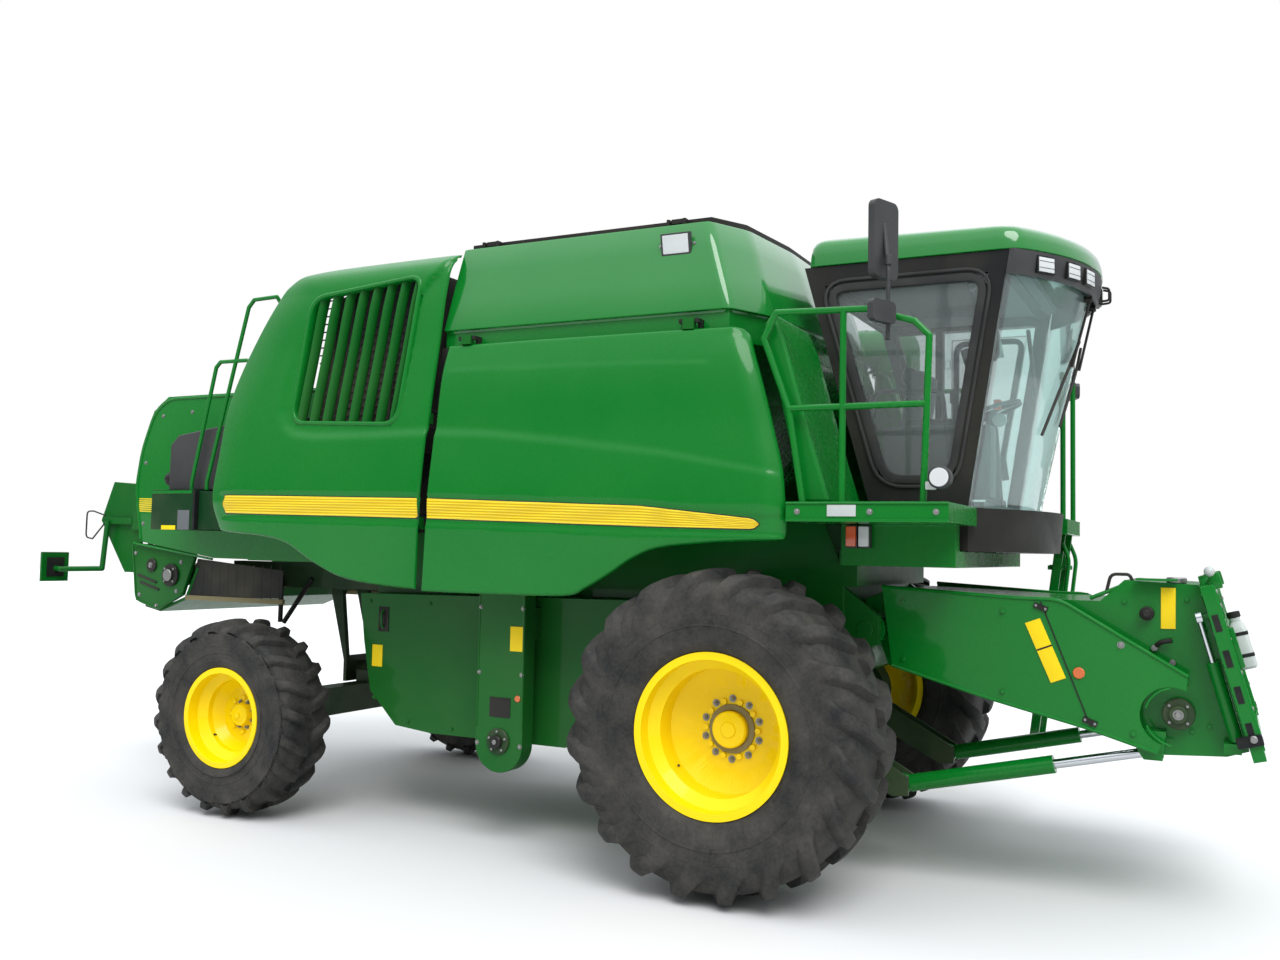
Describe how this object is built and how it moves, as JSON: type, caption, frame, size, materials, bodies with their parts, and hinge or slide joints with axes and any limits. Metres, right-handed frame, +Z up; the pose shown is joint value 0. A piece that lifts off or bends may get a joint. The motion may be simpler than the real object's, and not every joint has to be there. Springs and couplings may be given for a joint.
{
  "type": "combine harvester",
  "caption": "Self-propelled combine harvester without its header: feeder house, cab, grain tank, side panels, straw hood with chopper, driven front wheels and steered rear wheels",
  "frame": {"origin": "on the ground under the middle of the overall length and width", "axes": "+X is the way it drives, +Y its left side, +Z up"},
  "size_m": [8.3435, 3.4926, 3.728],
  "materials": {
    "green": "gloss green paint",
    "yellow": "yellow paint",
    "tyre": "worn rubber",
    "black_metal": "satin black paint",
    "dark_green": "shaded green paint",
    "black_plastic": "moulded black",
    "glass": "tinted",
    "chrome": "ground and plated rod",
    "fabric": "seat cloth"
  },
  "bodies": {
    "chassis": {"auger_column": "green", "cab_fairings": "green", "cab_glass": "glass", "cab_hinges": "black_metal", "cab_roof": "green", "cab_shell": "black_metal", "chopper_housing": "green", "engine": "black_metal", "front_axle": "dark_green", "grain_elevators": "green", "grain_tank": "green", "ladder": "green", "lamp_brackets": "green", "lid_hinges": "black_metal", "mirrors": "black_plastic", "platforms": "green", "radiator": "black_metal", "railings": "green", "rear_axle": "dark_green", "rear_boxes": "dark_green", "rear_frame": "dark_green", "rear_handrails": "green", "seat": "fabric", "side_frame": "black_metal", "side_tanks": "black_plastic", "steering_column": "black_plastic", "straw_hood": "green", "straw_walkers": "black_metal", "tailboard": "green", "threshing_body": "dark_green"},
    "front_wheel_right": {"front_tyre_right": "tyre", "front_rim_right": "yellow"},
    "front_wheel_left": {"front_tyre_left": "tyre", "front_rim_left": "yellow"},
    "rear_wheel_right": {"rear_tyre_right": "tyre", "rear_rim_right": "yellow"},
    "rear_wheel_left": {"rear_tyre_left": "tyre", "rear_rim_left": "yellow"},
    "knuckle_right": {"rear_knuckle_right": "dark_green"},
    "knuckle_left": {"rear_knuckle_left": "dark_green"},
    "feeder": {"feeder_house": "green", "feeder_shields": "green", "feeder_chain": "black_metal", "tilt_barrel": "green"},
    "header_frame_body": {"header_frame": "green"},
    "lift_barrel_right_body": {"lift_barrel_right": "green"},
    "lift_barrel_left_body": {"lift_barrel_left": "green"},
    "lift_rod_right_body": {"lift_rod_right": "chrome"},
    "lift_rod_left_body": {"lift_rod_left": "chrome"},
    "auger": {"unloading_auger": "green"},
    "door": {"cab_door": "black_metal"},
    "lid_right": {"tank_lid_right": "black_metal"},
    "lid_left": {"tank_lid_left": "black_metal"},
    "front_panel_right_body": {"front_panel_right": "green"},
    "front_panel_left_body": {"front_panel_left": "green"},
    "rear_panel_right_body": {"rear_panel_right": "green"},
    "rear_panel_left_body": {"rear_panel_left": "green"},
    "chopper_rotor_body": {"chopper_rotor": "black_metal"},
    "tilt_rod_body": {"tilt_rod": "chrome"}
  },
  "joints": [
    {"name": "front_wheel_right_spin", "type": "hinge", "parent": "chassis", "child": "front_wheel_right", "pos_m": [1.615, -1.42, 0.87], "axis": [0, 1, 0], "continuous": true},
    {"name": "steer_right", "type": "hinge", "parent": "chassis", "child": "knuckle_right", "pos_m": [-1.965, -1.01, 0.655], "axis": [0, 0, 1], "range_deg": [-35, 35]},
    {"name": "rear_wheel_right_spin", "type": "hinge", "parent": "knuckle_right", "child": "rear_wheel_right", "pos_m": [-1.965, -1.36, 0.655], "axis": [0, 1, 0], "continuous": true},
    {"name": "lift_barrel_right", "type": "hinge", "parent": "chassis", "child": "lift_barrel_right_body", "pos_m": [2.35, -0.6, 0.53], "axis": [0, -1, 0], "range_deg": [-25, 9]},
    {"name": "lift_rod_right", "type": "slide", "parent": "lift_barrel_right_body", "child": "lift_rod_right_body", "axis": [0.9733, 0, 0.2297], "range_m": [-0.342, 0.126]},
    {"name": "tank_lid_right", "type": "hinge", "parent": "chassis", "child": "lid_right", "pos_m": [0.615, -1.27, 3.714], "axis": [1, 0, 0], "range_deg": [0, 105]},
    {"name": "front_panel_right", "type": "hinge", "parent": "chassis", "child": "front_panel_right_body", "pos_m": [0.615, -1.478, 3.085], "axis": [-1, 0, 0], "range_deg": [0, 75]},
    {"name": "rear_panel_right", "type": "hinge", "parent": "chassis", "child": "rear_panel_right_body", "pos_m": [-0.38345, -1.5, 2.28], "axis": [0.0735, 0, 0.9973], "range_deg": [0, 70]},
    {"name": "front_wheel_left_spin", "type": "hinge", "parent": "chassis", "child": "front_wheel_left", "pos_m": [1.615, 1.42, 0.87], "axis": [0, 1, 0], "continuous": true},
    {"name": "steer_left", "type": "hinge", "parent": "chassis", "child": "knuckle_left", "pos_m": [-1.965, 1.01, 0.655], "axis": [0, 0, 1], "range_deg": [-35, 35]},
    {"name": "rear_wheel_left_spin", "type": "hinge", "parent": "knuckle_left", "child": "rear_wheel_left", "pos_m": [-1.965, 1.36, 0.655], "axis": [0, 1, 0], "continuous": true},
    {"name": "lift_barrel_left", "type": "hinge", "parent": "chassis", "child": "lift_barrel_left_body", "pos_m": [2.35, 0.6, 0.53], "axis": [0, -1, 0], "range_deg": [-25, 9]},
    {"name": "lift_rod_left", "type": "slide", "parent": "lift_barrel_left_body", "child": "lift_rod_left_body", "axis": [0.9733, 0, 0.2297], "range_m": [-0.342, 0.126]},
    {"name": "tank_lid_left", "type": "hinge", "parent": "chassis", "child": "lid_left", "pos_m": [0.615, 1.055, 3.714], "axis": [-1, 0, 0], "range_deg": [0, 105]},
    {"name": "front_panel_left", "type": "hinge", "parent": "chassis", "child": "front_panel_left_body", "pos_m": [0.615, 1.478, 3.085], "axis": [1, 0, 0], "range_deg": [0, 75]},
    {"name": "rear_panel_left", "type": "hinge", "parent": "chassis", "child": "rear_panel_left_body", "pos_m": [-0.38345, 1.5, 2.28], "axis": [-0.0735, 0, -0.9973], "range_deg": [0, 70]},
    {"name": "feeder_lift", "type": "hinge", "parent": "chassis", "child": "feeder", "pos_m": [2.175, 0, 1.4], "axis": [0, -1, 0], "range_deg": [-22, 8]},
    {"name": "header_tilt", "type": "hinge", "parent": "feeder", "child": "header_frame_body", "pos_m": [3.89206, 0, 1.61278], "axis": [0.9646, 0, 0.2636], "range_deg": [-4, 4]},
    {"name": "auger_swing", "type": "hinge", "parent": "chassis", "child": "auger", "pos_m": [1.815, 1.288, 3.345], "axis": [0, 0, -1], "range_deg": [0, 100]},
    {"name": "cab_door_swing", "type": "hinge", "parent": "chassis", "child": "door", "pos_m": [2.237, 0.866, 2.75], "axis": [0, 0, 1], "range_deg": [0, 78]},
    {"name": "chopper_rotor_spin", "type": "hinge", "parent": "chassis", "child": "chopper_rotor_body", "pos_m": [-3.185, 0, 1.56], "axis": [0, 1, 0], "continuous": true},
    {"name": "tilt_rod", "type": "slide", "parent": "feeder", "child": "tilt_rod_body", "axis": [-0.2636, 0, 0.9646], "range_m": [-0.048, 0.048]}
  ],
  "couplings": [
    {"joint": "steer_left", "follows": "steer_right", "ratio": 1},
    {"joint": "lift_barrel_right", "follows": "feeder_lift", "ratio": 1.07},
    {"joint": "lift_rod_right", "follows": "feeder_lift", "m_per_rad": 0.88},
    {"joint": "lift_barrel_left", "follows": "feeder_lift", "ratio": 1.07},
    {"joint": "lift_rod_left", "follows": "feeder_lift", "m_per_rad": 0.88},
    {"joint": "tilt_rod", "follows": "header_tilt", "m_per_rad": -0.655}
  ]
}
